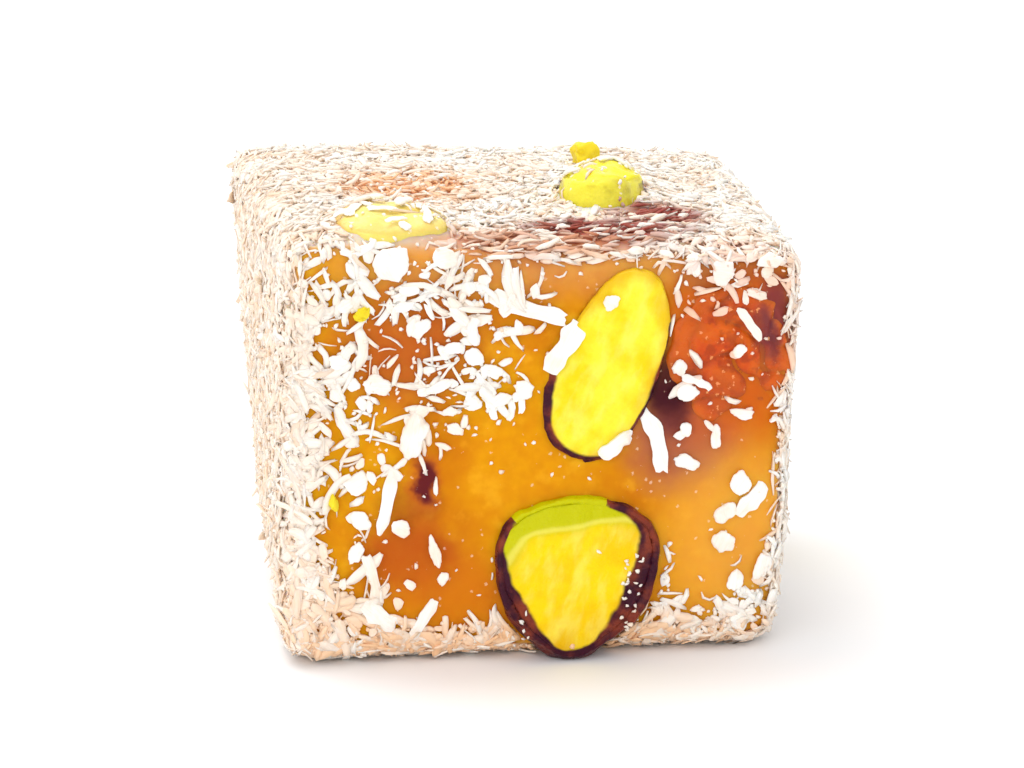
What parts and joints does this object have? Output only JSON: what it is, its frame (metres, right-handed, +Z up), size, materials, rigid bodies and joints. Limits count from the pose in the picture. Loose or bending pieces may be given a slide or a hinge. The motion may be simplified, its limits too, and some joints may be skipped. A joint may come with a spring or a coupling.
{
  "type": "turkish delight cube",
  "caption": "Cube of amber starch jelly with cut pistachio kernels and candied cherries, coated in shredded coconut, one face nearly bare.",
  "frame": {"origin": "middle of the base, at the bottom centre of the overall box", "axes": "+Z up, -Y out of the nearly bare cut face, +X to the right as seen from in front of that face"},
  "size_m": [0.038, 0.0378, 0.0313],
  "materials": {
    "jelly": "translucent amber starch jelly, satin cut face",
    "pistachio": "cut kernel, yellow with a green rim and a thin purple-brown skin",
    "cherry": "translucent red candied fruit, darker where thick",
    "coconut": "dry white shredded coconut"
  },
  "bodies": {
    "root": {"jelly": "jelly", "pistachio_front_upper": "pistachio", "pistachio_front_lower": "pistachio", "pistachio_top_rear": "pistachio", "pistachio_top_front": "pistachio", "pistachio_right_upper": "pistachio", "pistachio_right_lower": "pistachio", "pistachio_back_upper": "pistachio", "pistachio_back_lower": "pistachio", "cherry_front": "cherry", "cherry_back": "cherry", "cherry_right": "cherry"}
  },
  "joints": []
}
